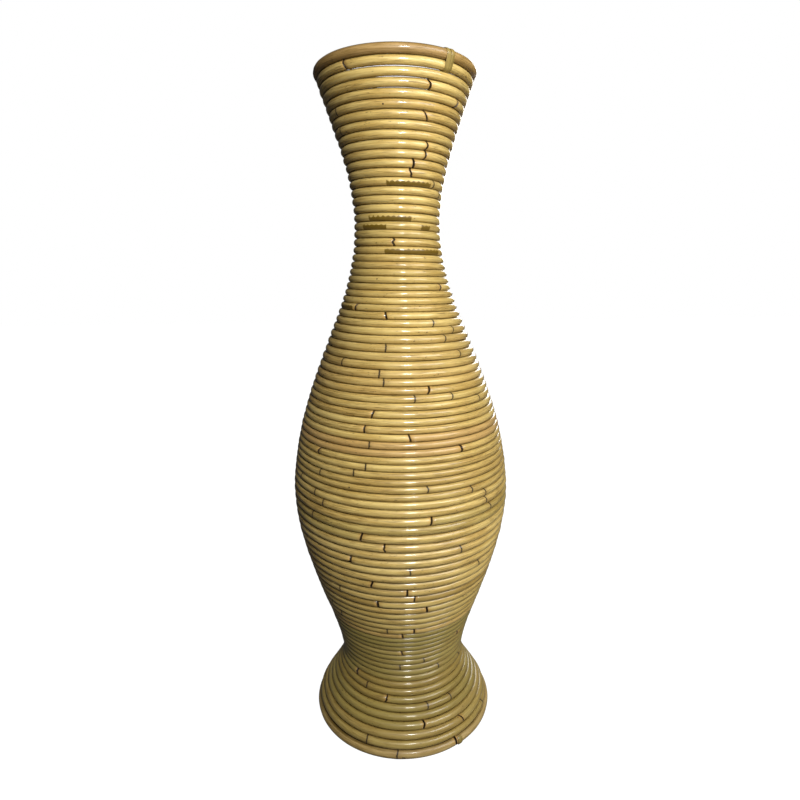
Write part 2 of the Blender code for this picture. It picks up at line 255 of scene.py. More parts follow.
def spread_joints(path, first, last, rng):
    """The leaf joints of one cane as lengths along it: those that are seen, and others where none is near."""
    lengths = [point[4] for point in path]
    per_turn = (len(path) - 1) / (last - first)
    seen = [turns_of(*joint) for joint in LEAF_JOINTS]
    marks = sorted(lengths[round((turns - first) * per_turn)] for turns in seen if first < turns < last)
    end = lengths[-1]
    place = -rng.uniform(0.05, 0.22)
    while place < end + 0.3:
        turns = first + bisect.bisect(lengths, place) / per_turn
        hidden = abs((turns - round(turns)) * 360) > SEEN_DEGREES
        if all(abs(place - mark) > CLEAR_OF_SEEN for mark in marks) and (hidden or place < 0 or place > end):
            marks.append(place)
        place += rng.uniform(*LEAF_SPACES)
    return sorted(marks)


def count_joints(marks, length):
    """A count that rises by one at each leaf joint, at one rate near it, so that a finish can draw it."""
    before = sum(1 for mark in marks if mark <= length)
    low = marks[before - 1] if before else length - LEAF_SPACING
    high = marks[before] if before < len(marks) else low + LEAF_SPACING
    near = min(length - low, high - length, NEAR_LEAF_JOINT)
    rate = (1 - 2 * NEAR_LEAF_JOINT / LEAF_SPACING) / max(high - low - 2 * NEAR_LEAF_JOINT, 0.001)
    if length - low <= high - length:
        return before + near / LEAF_SPACING + (length - low - near) * rate
    return before + 1 - near / LEAF_SPACING - (high - length - near) * rate


def set_values(mesh, name, kind, values):
    layer = mesh.attributes.new(name, kind, "POINT")
    if kind == "FLOAT_VECTOR":
        layer.data.foreach_set("vector", [number for value in values for number in value])
    else:
        layer.data.foreach_set("value", values)


def cut_shift(cut, up, seed):
    """How far a cut end's edge lies along the cane at a share of its height. Two butted ends still match."""
    lean, bow, splinter = cut
    rough = noise.noise(Vector((up * 2.4, seed, 0.0))) + 0.5 * noise.noise(Vector((up * 5.0, seed, 4.0)))
    return -lean * up - bow * (0.6 - up * up) + splinter * rough


CUT_REACH = 0.014
STRAIGHT_CUT = (0.0, 0.0, 0.0003)
NOMINAL_HALF = 0.005
JOINT_SWELL = 0.03
JOINT_REACH = 0.004
EASED_END = 0.90
CHIP_LENGTH = 0.018
CHIP_BELOW = 0.1
WELD = 0.000001


def bend_cane(name, path, marks, batch, cuts, seed, chip=0.0):
    """A cane along a path of (place, up, out, half thickness, length, stain).

    It is drawn as a curve and made a mesh, and then its two ends are cut. It carries what its finish reads.
    """
    full = path[-1][4]
    path = ease_ends(path)
    bpy.ops.object.select_all(action="DESELECT")
    bpy.ops.curve.primitive_nurbs_path_add()
    cane = bpy.context.object
    cane.name = name
    curve = cane.data
    curve.twist_mode = "Z_UP"
    curve.bevel_mode = "ROUND"
    curve.bevel_depth = NOMINAL_HALF
    curve.bevel_resolution = CANE_SIDES // 2 - 2
    curve.use_fill_caps = True
    curve.splines.clear()
    spline = curve.splines.new("POLY")
    spline.points.add(len(path) - 1)
    for point, (place, _, _, half, length, _) in zip(spline.points, path):
        joint = min((abs(length - mark) for mark in marks), default=1.0)
        swell = 1.0 + JOINT_SWELL * math.exp(-((joint / JOINT_REACH) ** 2))
        eased = EASED_END if length in (0.0, full) else 1.0
        point.co = (*place, 1.0)
        point.radius = half * swell * eased / NOMINAL_HALF
    bpy.ops.object.convert(target="MESH")
    cane = bpy.context.object
    mesh = cane.data
    tangents = [(b[0] - a[0]).normalized() for a, b in zip(path, path[1:])]
    tangents.append(tangents[-1])
    cane_values, counts, stains, ends, batches = [], [], [], [], []
    for index, vertex in enumerate(mesh.vertices):
        # Blender lists the cap of the last end, the cap of the first end and then the rings in their order.
        ring = index // CANE_SIDES - 2
        ring = {-2: len(path) - 1, -1: 0}.get(ring, ring)
        place, up, out, half, length, stain = path[ring]
        offset = vertex.co - place
        across_up, across_out = offset.dot(up) / half, offset.dot(out) / half
        cane_values.append((across_up, across_out, length + seed * 1.7))
        counts.append(count_joints(marks, length))
        stains.append(stain)
        ends.append(min(length, full - length))
        batches.append(batch)
        for from_end, cut, cut_seed in ((length, cuts[0], seed), (full - length, cuts[1], seed + 1)):
            if from_end < CUT_REACH:
                shift = cut_shift(cut, across_up, cut_seed * 3.1) * (1.0 - from_end / CUT_REACH)
                vertex.co += tangents[ring] * shift
        if chip and length < CHIP_LENGTH and across_up < CHIP_BELOW:
            vertex.co += up * half * chip * (CHIP_BELOW - across_up) * (1.0 - length / CHIP_LENGTH)
    set_values(mesh, "cane", "FLOAT_VECTOR", cane_values)
    set_values(mesh, "joint_count", "FLOAT", counts)
    set_values(mesh, "stain", "FLOAT", stains)
    set_values(mesh, "from_end", "FLOAT", ends)
    set_values(mesh, "batch", "FLOAT_VECTOR", batches)
    bpy.ops.object.mode_set(mode="EDIT")
    bpy.ops.mesh.select_all(action="SELECT")
    bpy.ops.mesh.remove_doubles(threshold=WELD)
    bpy.ops.mesh.normals_make_consistent(inside=False)
    bpy.ops.object.mode_set(mode="OBJECT")
    bpy.ops.object.shade_smooth_by_angle(angle=math.radians(50))
    cane.location = (0, 0, 0)
    cane.rotation_euler = (0, 0, 0)
    return cane


EASED_LENGTH = 0.0005


def ease_ends(path):
    """Adds a ring half a millimetre from each end, where the cane has its full thickness again."""
    eased = list(path)
    for end, inner in ((0, 1), (-1, -2)):
        a, b = path[end], path[inner]
        share = EASED_LENGTH / abs(b[4] - a[4])
        ring = tuple(x + (y - x) * share for x, y in zip(a, b))
        eased.insert(1 if end == 0 else len(eased) - 1, ring)
    return eased


DRIFT_OUT = 0.0005
DRIFT_UP = 0.0003
FATNESS = 0.018


def coil_place(turns, wander):
    """A point of the coil with the small wander of a hand-laid row, and the frame of its section."""
    radius, height, direction, half = cane_at(turns)
    angle = turn_angle(turns)
    facing = Vector((math.cos(angle), math.sin(angle), 0.0))
    upright = Vector((0.0, 0.0, 1.0))
    up = facing * direction.x + upright * direction.y
    out = facing * direction.y - upright * direction.x
    drift_out = DRIFT_OUT * noise.noise(Vector((turns * 2.3, wander, 0.0)))
    drift_up = DRIFT_UP * noise.noise(Vector((turns * 1.9, wander, 7.0)))
    fatness = 1.0 + FATNESS * noise.noise(Vector((turns * 3.1, wander, 3.0)))
    place = facing * radius + upright * height + out * drift_out + up * drift_up
    return place, up, out, half * fatness


def stain_at(turns):
    row = round(turns)
    degrees = (row - turns) * 360
    strength = 0.0
    for stained_row, first, last, most in SHEATH_STAINS:
        if stained_row == row:
            edge = min(degrees - first, last - degrees)
            strength = max(strength, most * min(1.0, max(0.0, edge / 4.0 + 0.5)))
    return strength


def srgb(code):
    """A colour as a screen shows it, such as "E2C27B", as the linear values that a shader takes."""
    linear = []
    for index in (0, 2, 4):
        part = int(code[index : index + 2], 16) / 255
        linear.append(part / 12.92 if part <= 0.04045 else ((part + 0.055) / 1.055) ** 2.4)
    return (*linear, 1.0)


def add_node(tree, kind, links=None, **settings):
    """Adds a node; links give its inputs by name or number, each a socket to join or a plain value."""
    node = tree.nodes.new(kind)
    for key, value in settings.items():
        setattr(node, key, value)
    for key, value in (links or {}).items():
        if isinstance(value, bpy.types.NodeSocket):
            tree.links.new(value, node.inputs[key])
        else:
            node.inputs[key].default_value = value
    return node


def rattan(name, pale, deep, dark, coat, rough):
    """Peeled rattan under clear lacquer: straw-coloured fibre with a fine lengthwise grain.

    It has soft blotches, dark pores, grime, pooled lacquer and painted shade in the grooves, and a dark arc
    at each leaf joint. The lacquer gives it a wet gloss.
    """
    material = bpy.data.materials.new(name)
    material.use_nodes = True
    tree = material.node_tree
    tree.nodes.clear()
    cane = add_node(tree, "ShaderNodeAttribute", attribute_name="cane").outputs["Vector"]
    count = add_node(tree, "ShaderNodeAttribute", attribute_name="joint_count").outputs["Fac"]
    stain = add_node(tree, "ShaderNodeAttribute", attribute_name="stain").outputs["Fac"]
    from_end = add_node(tree, "ShaderNodeAttribute", attribute_name="from_end").outputs["Fac"]
    batch = add_node(tree, "ShaderNodeAttribute", attribute_name="batch").outputs["Vector"]
    batch = add_node(tree, "ShaderNodeSeparateXYZ", {0: batch})
    across = add_node(tree, "ShaderNodeSeparateXYZ", {0: cane})

    def math_node(operation, first, second=0.0):
        return add_node(tree, "ShaderNodeMath", {0: first, 1: second}, operation=operation).outputs[0]

    def pattern(scale, detail, rough_share=0.5, shift=0.0):
        inputs = {0: cane, 1: scale, 2: (shift, shift, shift)}
        placed = add_node(tree, "ShaderNodeVectorMath", inputs, operation="MULTIPLY_ADD")
        return add_node(
            tree,
            "ShaderNodeTexNoise",
            {"Vector": placed.outputs[0], "Scale": 1.0, "Detail": detail, "Roughness": rough_share},
        ).outputs["Fac"]

    def ramp(value, low, high, from_level=0.0, to_level=1.0):
        inputs = {"Value": value, "From Min": low, "From Max": high, "To Min": from_level, "To Max": to_level}
        return add_node(tree, "ShaderNodeMapRange", inputs, interpolation_type="SMOOTHSTEP").outputs[0]

    def blend(factor, first, second, kind="MIX"):
        inputs = {"Factor": factor, "A": first, "B": second}
        node = add_node(tree, "ShaderNodeMix", data_type="RGBA", blend_type=kind)
        for key, value in inputs.items():
            socket = [s for s in node.inputs if s.name == key and s.enabled][0]
            if isinstance(value, bpy.types.NodeSocket):
                tree.links.new(value, socket)
            else:
                socket.default_value = value
        return [s for s in node.outputs if s.enabled][0]

    # One unit across is half the cane, about 5 mm, and along it is metres. Real fibres are 0.3 mm wide. They
    # are drawn here 1.5 mm wide, so that they show.
    grain = pattern((3.2, 3.2, 16.0), 4.0, 0.62)
    fine = pattern((6.5, 6.5, 45.0), 3.0, 0.6, 3.0)
    blotch = pattern((0.6, 0.6, 22.0), 3.0, 0.6, 9.0)
    slow = pattern((0.2, 0.2, 4.5), 2.0, 0.5, 21.0)
    pores = pattern((4.0, 4.0, 230.0), 2.0, 0.6, 33.0)

    tone = math_node("ADD", math_node("MULTIPLY", grain, 0.6), math_node("MULTIPLY", blotch, 0.4))
    colour = blend(ramp(tone, 0.40, 0.62), srgb(pale), srgb(deep))
    colour = blend(ramp(slow, 0.44, 0.70, 0.0, 0.5), colour, srgb("B9954E"))
    colour = blend(ramp(batch.outputs["X"], 0.0, 1.0, 0.0, 0.75), colour, srgb("9C7F3C"))
    colour = blend(ramp(batch.outputs["Y"], 0.0, 1.0, 0.0, 0.70), colour, srgb("C29A5F"))
    colour = blend(ramp(batch.outputs["Z"], 0.0, 1.0, 0.0, 0.75), colour, srgb("857A3A"))
    streak = math_node("MULTIPLY", ramp(fine, 0.49, 0.64), ramp(slow, 0.34, 0.62, 0.15, 0.85))
    colour = blend(streak, colour, srgb("7C6028"))
    fleck = math_node("MULTIPLY", ramp(pores, 0.63, 0.70), ramp(blotch, 0.45, 0.62, 0.1, 0.95))
    colour = blend(fleck, colour, srgb(dark))

    # Grime, pooled lacquer and painted shade darken the grooves, where a row meets the next, most of all in
    # the thin band where two rows touch.
    off_middle = math_node("ABSOLUTE", across.outputs["X"])
    groove_grime_and_shade = math_node("MULTIPLY", ramp(off_middle, 0.70, 0.98), ramp(blotch, 0.3, 0.7, 0.5, 0.9))
    colour = blend(groove_grime_and_shade, colour, srgb("6A5219"))
    # The thinnest band, where two rows touch, is darkened most: grime and painted shade.
    colour = blend(ramp(off_middle, 0.92, 1.0, 0.0, 0.8), colour, srgb("2C1F0E"))

    # What is left of the leaf sheath: an olive stain on the lower half of the cane. Its upper edge has teeth
    # 6 mm apart.
    tooth = math_node("DIVIDE", math_node("PINGPONG", across.outputs["Z"], 0.003), 0.003)
    edge = math_node("ADD", math_node("MULTIPLY", tooth, 0.38), math_node("MULTIPLY", grain, 0.7))
    below = ramp(math_node("SUBTRACT", math_node("SUBTRACT", edge, 0.42), across.outputs["X"]), -0.05, 0.05)
    stained = math_node("MULTIPLY", below, ramp(stain, 0.35, 0.6, 0.0, 0.95))
    colour = blend(stained, colour, srgb("6A5100"))

    # A leaf joint: a thin dark arc that bows along the cane, in a slightly browner band.
    bow = math_node("MULTIPLY", math_node("MULTIPLY", across.outputs["X"], across.outputs["X"]), 0.0012)
    wobble = math_node("MULTIPLY", math_node("SUBTRACT", grain, 0.5), 0.0022)
    beside = math_node("SUBTRACT", math_node("FRACT", math_node("ADD", count, 0.5)), 0.5)
    beside = math_node("MULTIPLY", beside, LEAF_SPACING)
    from_arc = math_node("ABSOLUTE", math_node("SUBTRACT", beside, math_node("ADD", bow, wobble)))
    arc = ramp(from_arc, 0.0005, 0.0015, 0.97, 0.0)
    beside = math_node("ABSOLUTE", beside)
    colour = blend(ramp(beside, 0.0, 0.012, 0.28, 0.0), colour, srgb("8A6A3A"))
    colour = blend(arc, colour, srgb("2E2110"))

    # Sawn ends are darkened by filler, dirt and painted shade of the gap between butted ends, beside a band
    # that the saw has scraped of its lacquer.
    dark_end_dirt_and_shade = ramp(from_end, 0.0004, 0.0013, 0.96, 0.0)
    colour = blend(ramp(from_end, 0.0, 0.007, 0.5, 0.0), colour, srgb("C0944F"))
    # The darkest band at each end: filler, dirt and painted shade of the gap.
    colour = blend(dark_end_dirt_and_shade, colour, srgb("2B1C0D"))

    height = math_node("ADD", math_node("MULTIPLY", grain, 0.6), math_node("MULTIPLY", fine, 0.25))
    height = math_node("SUBTRACT", height, math_node("MULTIPLY", arc, 0.8))
    bump = add_node(tree, "ShaderNodeBump", {"Height": height, "Strength": 0.22, "Distance": 0.0004})
    gloss = ramp(fine, 0.3, 0.75, rough, rough + 0.16)
    shader = add_node(
        tree,
        "ShaderNodeBsdfPrincipled",
        {
            "Base Color": colour,
            "Roughness": gloss,
            "Normal": bump.outputs[0],
            "Coat Weight": coat,
            "Coat Roughness": 0.11,
            "Coat IOR": 1.5,
            "IOR": 1.5,
        },
    )
    output = add_node(tree, "ShaderNodeOutputMaterial")
    tree.links.new(shader.outputs[0], output.inputs["Surface"])
    return material


# The coil's cane: straw-coloured core rattan under lacquer.
coil_rattan = rattan("lacquered_core_rattan", "DCC176", "BF9F54", "4A3216", 0.7, 0.42)

# The coil's own two ends are shaved to a wedge. The first starts over the foot cane, and the last runs out
# under the rim. The gap between two butted ends is a little over half of what the list says.
SHAVED_START = 0.2
SHAVED_END = 90.88
GAP_SHARE = 1 / 1.8
WANDER = 3.7
ends = [(SHAVED_START, 0.3, (0.0, 0.0, 0.0))]
for row, degrees, gap, lean, bow, splinter in CANE_ENDS:
    ends.append((turns_of(row, degrees), gap, (lean / 1000, bow / 1000, splinter / 1000)))
ends.append((SHAVED_END, 0.3, (0.0, 0.0, 0.0)))
SNAPPED_CANE = 15
OLIVE_ROWS = 34
for number, (start, end) in enumerate(zip(ends, ends[1:]), start=1):
    first, first_gap, first_cut = start
    last, last_gap, last_cut = end
    rng = random.Random(number * 101)
    around = 2 * math.pi * cane_at((first + last) / 2)[0]
    first += first_gap * GAP_SHARE / 2000 / around
    last -= last_gap * GAP_SHARE / 2000 / around
    steps = max(24, round((last - first) * STEPS_PER_TURN))
    path = []
    length = 0.0
    for step in range(steps + 1):
        turn = first + (last - first) * step / steps
        place, up, out, half = coil_place(turn, WANDER)
        if path:
            length += (place - path[-1][0]).length
        path.append((place, up, out, half, length, stain_at(turn)))
    marks = spread_joints(path, first, last, rng)
    lower = max(0.0, 1.0 - first / OLIVE_ROWS)
    brown = max(0.0, rng.gauss(0.1, 0.25))
    pink = max(0.0, rng.gauss(0.0, 0.25))
    olive = max(0.0, rng.gauss(0.35 * lower, 0.15))
    batch = CANE_TINTS.get(number, (brown, pink, olive))
    chip = 0.7 if number == SNAPPED_CANE else 0.0
    cane = bend_cane(f"coil_cane_{number:02d}", path, marks, batch, (first_cut, last_cut), number, chip)
    cane.data.materials.clear()
    cane.data.materials.append(coil_rattan)
    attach(cane, "root")
    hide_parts(f"rod_{number:02d}")


# The rim: one thicker cane, left browner than the rest, its colour darkened further as painted shade, bent
# once round and tied to the top row. Its two ends are cut to a point and meet behind the lashing.
RIM_JOINT = 38.0
RIM_JOINT_GAP = 0.0012
RIM_LEAF_JOINTS = [0.11, 0.39]
POINTED_CUT = (0.003, -0.002, 0.0008)
RING_STEPS = 150
RING_DRIFT = 0.0004
# The rim's cane: browner lacquered rattan, darkened further as painted shade.
rim_rattan = rattan("lacquered_rim_rattan", "AE8E5B", "856636", "3E2815", 0.4, 0.42)


def ring_path(place, direction, size, joint, gap, tilt, wander):
    """A ring of cane that starts and ends at a joint, given in degrees to the right of the front."""
    radius, height = place
    open_angle = gap / radius
    path = []
    length = 0.0
    for step in range(RING_STEPS + 1):
        angle = math.radians(joint - 90.0) + open_angle / 2 + (2 * math.pi - open_angle) * step / RING_STEPS
        facing = Vector((math.cos(angle), math.sin(angle), 0.0))
        upright = Vector((0.0, 0.0, 1.0))
        up = facing * direction.x + upright * direction.y
        out = facing * direction.y - upright * direction.x
        rise = -tilt * radius * math.cos(angle)
        drift = RING_DRIFT * noise.noise(Vector((math.cos(angle) * 2, math.sin(angle) * 2, wander)))
        spot = facing * radius + upright * height + up * rise + out * drift
        if path:
            length += (spot - path[-1][0]).length
        path.append((spot, up, out, size / 2, length, 0.0))
    return path


rim_up = wall_at(wall_length)[2]
rim_path = ring_path(MOUTH, rim_up, RIM_SIZE, RIM_JOINT, RIM_JOINT_GAP, RIM_TILT, 4.0)
rim = bend_cane("rim_cane", rim_path, RIM_LEAF_JOINTS, (0.2, 0.25, 0.0), (POINTED_CUT, POINTED_CUT), 61)
rim.data.materials.clear()
rim.data.materials.append(rim_rattan)
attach(rim, "root")
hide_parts("rim_ring")


# The foot: another thick cane, bent once round under the lowest row. The vase stands on it, so it is sanded
# flat below.
FOOT_JOINT = 34.0
FOOT_JOINT_GAP = 0.0014
FOOT_LEAF_JOINTS = [0.21, 0.48, 0.70]
# The foot's cane: lacquered rattan a little duller than the coil's.
foot_rattan = rattan("lacquered_foot_rattan", "CBAE72", "A98A50", "453016", 0.4, 0.42)
foot_path = ring_path(FOOT, wall_at(0.0)[2], FOOT_SIZE, FOOT_JOINT, FOOT_JOINT_GAP, 0.0, 9.0)
foot_cuts = (STRAIGHT_CUT, STRAIGHT_CUT)
foot = bend_cane("foot_cane", foot_path, FOOT_LEAF_JOINTS, (0.1, 0.0, 0.3), foot_cuts, 62)
bpy.ops.object.mode_set(mode="EDIT")
bpy.ops.mesh.select_all(action="SELECT")
bpy.ops.mesh.bisect(plane_co=(0, 0, 0), plane_no=(0, 0, 1), use_fill=True, clear_inner=True, threshold=WELD)
bpy.ops.object.mode_set(mode="OBJECT")
foot.data.materials.clear()
foot.data.materials.append(foot_rattan)
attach(foot, "root")
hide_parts("foot_ring")


# Lashings: flat strips of rattan peel, split from the skin of the cane. Two lie side by side round the rim
# and the top row, over the rim's joint, and one is pinned beside the foot cane's joint.
PEEL = 0.0010
PEEL_OFF_CANE = PEEL * 0.55
LASHING_WIDTH = 0.0056
LASHING_SHIFT = 1.7
LASHING_LEAN = 0.0006
WRAP_WIDTH = 0.0072
WRAP_ANGLE = 37.0
WRAP_FROM = -42.0
WRAP_TO = 62.0
WRAP_STEPS = 24
PEEL_COLUMNS = (-0.5, -0.36, -0.12, 0.12, 0.36, 0.5)
PEEL_CROWN = 0.0005
PEEL_RIPPLE = 0.00012
# The peel: the olive-brown outer skin of the cane, lacquered with the rest.
peel_rattan = rattan("rattan_peel", "A8904E", "857036", "4A3718", 0.35, 0.45)


def pull_round(circles, clearance, sides=40):
    """The outline of a strip pulled tight round some circles of (x, y, radius)."""
    outline = []
    for step in range(sides):
        way = Vector((math.cos(2 * math.pi * step / sides), math.sin(2 * math.pi * step / sides)))
        _, x, y, radius = max((x * way.x + y * way.y + radius, x, y, radius) for x, y, radius in circles)
        outline.append(Vector((x, y)) + way * (radius + clearance))
    return outline


def wind_peel(name, outline, closed, joint, width, lean, batch, seed):
    """A strip of peel along an outline of (radius, height), at some degrees right of the front.

    It is drawn as a flat ribbon, given its thickness, and its long edges are eased.
    """
    angle = math.radians(joint - 90.0)
    facing = Vector((math.cos(angle), math.sin(angle), 0.0))
    side = Vector((-math.sin(angle), math.cos(angle), 0.0))
    mesh = bpy.data.meshes.new(name)
    verts, faces, values = [], [], []
    along = 0.0
    count = len(outline)
    middle = Vector((sum(spot.x for spot in outline) / count, sum(spot.y for spot in outline) / count))
    for index, spot in enumerate(outline):
        if index:
            along += (spot - outline[index - 1]).length
        share = index / count
        for column in PEEL_COLUMNS:
            shift = side * (column * width + lean * math.sin(2 * math.pi * share))
            ripple = PEEL_RIPPLE * noise.noise(Vector((column * 3, share * 9, seed)))
            crown = -PEEL_CROWN * (abs(column) * 2) ** 3 + ripple
            push = (spot - middle).normalized() * crown
            place = facing * (spot.x + push.x) + Vector((0, 0, 1)) * (spot.y + push.y) + shift
            verts.append(place)
            values.append((column * 1.9, 1.0, along + seed * 1.3))
    wide = len(PEEL_COLUMNS)
    for index in range(count if closed else count - 1):
        after = (index + 1) % count
        for column in range(wide - 1):
            a, b = index * wide + column, index * wide + column + 1
            faces.append((a, b, after * wide + column + 1, after * wide + column))
    mesh.from_pydata(verts, [], faces)
    strip = bpy.data.objects.new(name, mesh)
    bpy.context.collection.objects.link(strip)
    set_values(mesh, "cane", "FLOAT_VECTOR", values)
    set_values(mesh, "joint_count", "FLOAT", [0.5] * len(verts))
    set_values(mesh, "stain", "FLOAT", [0.0] * len(verts))
    set_values(mesh, "from_end", "FLOAT", [0.05] * len(verts))
    set_values(mesh, "batch", "FLOAT_VECTOR", [batch] * len(verts))
    bpy.ops.object.select_all(action="DESELECT")
    bpy.context.view_layer.objects.active = strip
    strip.select_set(True)
    solid = strip.modifiers.new("thickness", "SOLIDIFY")
    solid.thickness = PEEL
    solid.offset = 0.0
    bpy.ops.object.modifier_apply(modifier="thickness")
    bevel = strip.modifiers.new("eased", "BEVEL")
    bevel.width = 0.00025
    bevel.segments = 2
    bevel.limit_method = "ANGLE"
    bpy.ops.object.modifier_apply(modifier="eased")
    bpy.ops.object.mode_set(mode="EDIT")
    bpy.ops.mesh.select_all(action="SELECT")
    bpy.ops.mesh.normals_make_consistent(inside=False)
    bpy.ops.object.mode_set(mode="OBJECT")
    bpy.ops.object.shade_smooth_by_angle(angle=math.radians(40))
    strip.data.materials.append(peel_rattan)
    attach(strip, "root")
    return strip


lash_turns = turns_of(ROWS, RIM_JOINT)
row_radius, row_height, _, row_half = cane_at(lash_turns)
rise = rim_rise(math.radians(RIM_JOINT - 90.0))
lashed = (
    (MOUTH[0] + rim_up.x * rise, MOUTH[1] + rim_up.y * rise, RIM_SIZE / 2),
    (row_radius, row_height, row_half),
)
for number, side in ((1, -1), (2, 1)):
    outline = pull_round(lashed, PEEL_OFF_CANE)
    joint = RIM_JOINT + side * LASHING_SHIFT
    lean = side * LASHING_LEAN
    strip = wind_peel(
        f"rim_peel_{number}", outline, True, joint, LASHING_WIDTH, lean, (0.2, 0.0, 0.3), number * 5
    )
    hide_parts(f"rim_lashing_{number}")

wrap_outline = []
for step in range(WRAP_STEPS + 1):
    angle = math.radians(WRAP_FROM + (WRAP_TO - WRAP_FROM) * step / WRAP_STEPS)
    reach = FOOT_SIZE / 2 + PEEL_OFF_CANE
    wrap_outline.append(Vector((FOOT[0] + reach * math.cos(angle), FOOT[1] + reach * math.sin(angle))))
wrap = wind_peel("foot_peel", wrap_outline, False, WRAP_ANGLE, WRAP_WIDTH, 0.0, (0.5, 0.0, 0.6), 21)
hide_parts("foot_wrap")


# Stays: six ribs of split cane inside, bent to the wall before the coiling starts. Every row is pinned to
# them. They are left raw, pale and fibrous.
STAY_COUNT = 6
STAY_SIZE = 0.0056
STAY_OFF_ROWS = 0.0006
STAY_FOOT = 0.040
STAY_HEAD = 0.012
STAY_STEPS = 170
STAY_WANDER = 0.0012
STAY_TURNED = 11.25
# The stays' cane: split rattan left pale.
stay_rattan = rattan("raw_split_rattan", "CDB07A", "A5834E", "4A3517", 0.0, 0.62)
for number in range(1, STAY_COUNT + 1):
    angle = math.radians(-90.0 + 360.0 / STAY_COUNT * (number - 0.5) + STAY_TURNED)
    facing = Vector((math.cos(angle), math.sin(angle), 0.0))
    side = Vector((-math.sin(angle), math.cos(angle), 0.0))
    first, last = COIL_START + STAY_FOOT, COIL_START + COIL_LENGTH - STAY_HEAD
    path = []
    length = 0.0
    for step in range(STAY_STEPS + 1):
        at = first + (last - first) * step / STAY_STEPS
        radius, height, direction = wall_at(at)
        inset = cane_size((at - COIL_START) / COIL_LENGTH) / 2 + STAY_SIZE / 2 + STAY_OFF_ROWS
        spot = facing * (radius - inset * direction.y) + Vector((0, 0, height + inset * direction.x))
        spot += side * STAY_WANDER * noise.noise(Vector((at * 9, number, 0.0)))
        out = facing * direction.y - Vector((0, 0, 1)) * direction.x
        if path:
            length += (spot - path[-1][0]).length
        path.append((spot, side, out, STAY_SIZE / 2, length, 0.0))
    rng = random.Random(number)
    marks = [rng.uniform(0.05, 0.2), 0.5, 0.75]
    cuts = (STRAIGHT_CUT, STRAIGHT_CUT)
    stay = bend_cane(f"split_stay_{number}", path, marks, (0.3, 0.0, 0.1), cuts, 70 + number)
    stay.data.materials.clear()
    stay.data.materials.append(stay_rattan)
    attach(stay, "root")
    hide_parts(f"stay_{number}")


# Pins: fine steel wire pins hold the rows to the stays. Most of their heads are sunk under the lacquer, and a
# few that show at the front have rusted dark. A wider one holds the foot cane.
PIN_PLACES = ((39, -25), (66, -23), (86, -10))
PIN_HEAD = 0.0009
PIN_FLATNESS = 0.45
WIDE_HEAD = 0.0028
WIDE_FACES = (-0.02, -0.99, -0.12)
spots = [(*coil_place(turns_of(row, degrees), WANDER), PIN_HEAD) for row, degrees in PIN_PLACES]
foot_spot = Vector((0, -FOOT[0], FOOT[1]))
spots.append((foot_spot, None, Vector(WIDE_FACES).normalized(), FOOT_SIZE / 2, WIDE_HEAD))
heads = []
for place, _, out, half, width in spots:
    bpy.ops.object.select_all(action="DESELECT")
    bpy.ops.mesh.primitive_uv_sphere_add(segments=14, ring_count=8, radius=PIN_HEAD)
    head = bpy.context.object
    head.scale = (width / PIN_HEAD, 1.0, PIN_FLATNESS)
    head.rotation_euler = out.to_track_quat("Z", "Y").to_euler()
    head.location = place + out * half
    bpy.ops.object.transform_apply(location=True, rotation=True, scale=True)
    bpy.ops.object.shade_smooth()
    heads.append(head)
for head in heads:
    head.select_set(True)
bpy.ops.object.join()
pins = bpy.context.object
pins.name = "pin_heads"
bpy.ops.object.transform_apply(location=True, rotation=True, scale=True)

# Steel wire gone dark with rust under lacquer.
rusted_steel = bpy.data.materials.new("rusted_pin_steel")
rusted_steel.use_nodes = True
tree = rusted_steel.node_tree
tree.nodes.clear()
where = add_node(tree, "ShaderNodeTexCoord").outputs["Object"]
rust = add_node(tree, "ShaderNodeTexNoise", {"Vector": where, "Scale": 2500.0, "Detail": 3.0}).outputs["Fac"]
rusting = add_node(tree, "ShaderNodeValToRGB", {"Fac": rust})
rusting.color_ramp.elements[0].position = 0.4
rusting.color_ramp.elements[0].color = srgb("17110D")
rusting.color_ramp.elements[1].position = 0.65
rusting.color_ramp.elements[1].color = srgb("3B2416")
looks = {"Base Color": rusting.outputs["Color"], "Roughness": 0.6, "Metallic": 0.4}
shader = add_node(tree, "ShaderNodeBsdfPrincipled", looks)
tree.links.new(shader.outputs[0], add_node(tree, "ShaderNodeOutputMaterial").inputs["Surface"])
pins.data.materials.clear()
pins.data.materials.append(rusted_steel)
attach(pins, "root")


# The floor: a disc of thin plywood, sawn round and pushed up into the foot until it wedges. Its face veneer
# is bare and its edge shows the plies.
DISC_SIDES = 96
DISC_MARGIN = 0.004
DISC_BAND = 0.03
low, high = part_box("floor_disc")
disc_radius = (high[0] - low[0]) / 2
disc_thick = high[2] - low[2]
bpy.ops.object.select_all(action="DESELECT")
disc_middle = (0, 0, (low[2] + high[2]) / 2)
bpy.ops.mesh.primitive_cylinder_add(
    vertices=DISC_SIDES, radius=disc_radius, depth=disc_thick, location=disc_middle
)
disc = bpy.context.object
disc.name = "plywood_floor"
bpy.ops.object.transform_apply(location=True, rotation=True, scale=True)
bpy.ops.object.mode_set(mode="EDIT")
bpy.ops.mesh.select_all(action="DESELECT")
bpy.ops.mesh.select_face_by_sides(number=DISC_SIDES, type="EQUAL")
bpy.ops.mesh.inset(thickness=DISC_MARGIN)
bpy.ops.mesh.inset(thickness=DISC_BAND)
bpy.ops.object.mode_set(mode="OBJECT")
bevel = disc.modifiers.new("eased", "BEVEL")
bevel.width = 0.0004
bevel.segments = 2
bevel.limit_method = "ANGLE"
bpy.ops.object.modifier_apply(modifier="eased")
bpy.ops.object.shade_smooth_by_angle(angle=math.radians(40))

